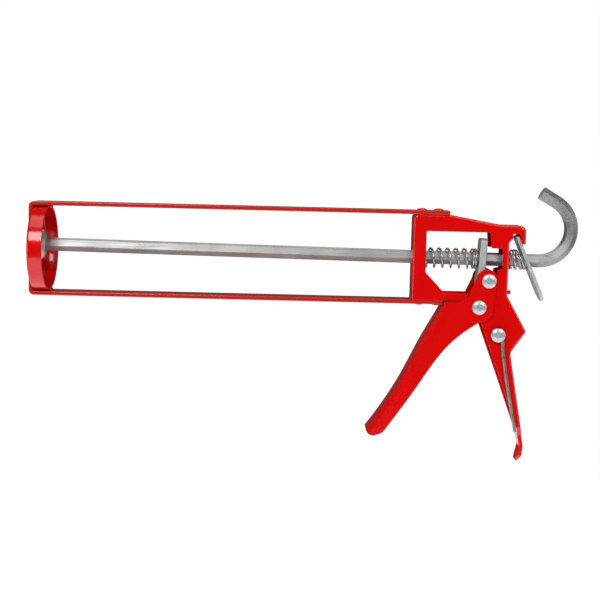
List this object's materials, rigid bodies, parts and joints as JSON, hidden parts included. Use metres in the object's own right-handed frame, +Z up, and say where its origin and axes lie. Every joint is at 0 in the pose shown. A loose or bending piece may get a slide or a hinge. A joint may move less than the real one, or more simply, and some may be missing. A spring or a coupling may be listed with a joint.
{
  "type": "caulking gun",
  "caption": "Skeleton caulking gun: open cradle for a sealant cartridge, hook-ended hexagonal push rod, squeeze trigger, release plate and fold-out seal punch",
  "frame": {"origin": "The centre of the nozzle hole, on the outer front face of the cup", "axes": "+X runs rearward along the cradle to the hook, +Y is across the gun, +Z is up, away from the grip; the nozzle points to -X"},
  "size_m": [0.3333, 0.052, 0.1694],
  "materials": {
    "red_paint": "gloss",
    "red_paint_rails": "gloss",
    "red_paint_trigger": "gloss",
    "rod_steel": "zinc plated, drawn",
    "piston_zinc": "zinc plated",
    "plate_zinc": "zinc plated, barrel finished",
    "rivet_zinc": "bright zinc plated",
    "spacer_steel": "plain turned steel",
    "spring_steel": "zinc plated spring wire",
    "wire_steel": "plain drawn wire"
  },
  "bodies": {
    "frame": {"front_cup": "red_paint", "top_rail": "red_paint_rails", "bottom_rail": "red_paint_rails", "cup_welds": "red_paint", "top_rail_rivets": "red_paint_rails", "bottom_rail_rivets": "red_paint_rails", "handle_body": "red_paint", "rod_guide_collar": "red_paint", "stop_peg": "red_paint", "trigger_pivot_rivet": "rivet_zinc", "pivot_spacer": "spacer_steel", "handle_rivet": "rivet_zinc", "handle_spacer": "spacer_steel", "main_spring": "spring_steel", "release_spring": "spring_steel"},
    "rod": {"push_rod": "rod_steel", "piston": "piston_zinc", "piston_nut": "piston_zinc"},
    "trigger": {"trigger": "red_paint_trigger", "drive_rivet": "rivet_zinc"},
    "drive": {"drive_plate": "plate_zinc"},
    "release": {"release_plate": "plate_zinc"},
    "punch": {"seal_punch": "wire_steel"}
  },
  "joints": [
    {"name": "rod_slide", "type": "slide", "parent": "frame", "child": "rod", "axis": [0.9999, 0, -0.0105], "range_m": [0, 0.21]},
    {"name": "trigger_squeeze", "type": "hinge", "parent": "frame", "child": "trigger", "pos_m": [0.2713, 0, -0.0296], "axis": [0, -1, 0], "range_deg": [0, 30], "stiffness_Nm_per_rad": 1.5, "springref_deg": -28.65},
    {"name": "drive_plate_slide", "type": "slide", "parent": "frame", "child": "drive", "axis": [-1, 0, 0], "range_m": [0, 0.0089], "deforming": ["main_spring"]},
    {"name": "release_tilt", "type": "hinge", "parent": "frame", "child": "release", "pos_m": [0.2965, 0, 0.0093], "axis": [0, 1, 0], "range_deg": [0, 14], "stiffness_Nm_per_rad": 0.2, "springref_deg": -28.65, "deforming": ["release_spring"]},
    {"name": "seal_punch_swing", "type": "hinge", "parent": "frame", "child": "punch", "pos_m": [0.2834, -0.0091, -0.0462], "axis": [0, -1, 0], "range_deg": [0, 150]}
  ],
  "couplings": [
    {"joint": "drive_plate_slide", "follows": "trigger_squeeze", "m_per_rad": 0.0169}
  ]
}
